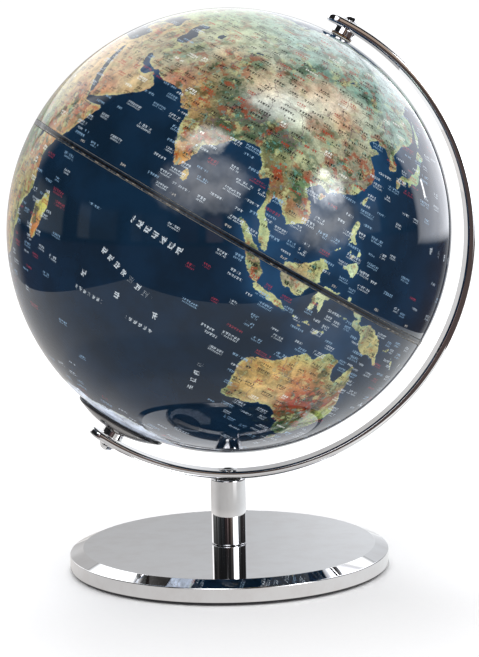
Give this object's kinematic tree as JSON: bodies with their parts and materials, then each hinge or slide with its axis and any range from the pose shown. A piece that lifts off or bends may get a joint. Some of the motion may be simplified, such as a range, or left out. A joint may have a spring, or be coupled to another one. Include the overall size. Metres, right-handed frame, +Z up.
{
  "type": "desktop globe on stand",
  "caption": "Glossy printed globe turning on a tilted polar axis in a chromed C-shaped arm, on a short stem and a flat round weighted base.",
  "frame": {"origin": "centre of the underside of the base pad, on the axis of the stem", "axes": "+Z up along the stem; +X towards the side that the north pole leans to, in the plane of the arm; +Y to the back"},
  "size_m": [0.2649, 0.25, 0.3167],
  "materials": {
    "chrome": "mirror polished",
    "zinc_steel": "zinc plated",
    "cast_iron": "as cast",
    "bronze": "satin",
    "printed_shell": "printed map under a high gloss coat",
    "seam_tape": "gloss",
    "black_plastic": "satin",
    "white_plastic": "satin",
    "ring_board": "raw",
    "pad_felt": "felt"
  },
  "bodies": {
    "stand": {"base_cover": "chrome", "base_weight": "cast_iron", "base_pad": "pad_felt", "stem_tube": "chrome", "stem_foot_plug": "zinc_steel", "stem_top_plug": "zinc_steel", "tie_bolt": "zinc_steel", "tie_washer": "zinc_steel", "tie_lock_washer": "zinc_steel", "tie_nut": "zinc_steel", "meridian_arm": "chrome", "north_pivot_screw": "chrome", "north_collar": "chrome", "north_washer": "bronze", "south_pivot_screw": "chrome", "south_collar": "chrome", "south_washer": "bronze"},
    "globe": {"north_hemisphere": "printed_shell", "south_hemisphere": "printed_shell", "equator_band": "seam_tape", "joint_ring": "ring_board", "north_bush": "white_plastic", "south_bush": "white_plastic", "north_bush_retainer": "zinc_steel", "south_bush_retainer": "zinc_steel", "south_cap": "black_plastic"}
  },
  "joints": [
    {"name": "globe_spin", "type": "hinge", "parent": "stand", "child": "globe", "pos_m": [0.0035, 0, 0.1919], "axis": [0.518, 0, 0.8554], "continuous": true}
  ]
}
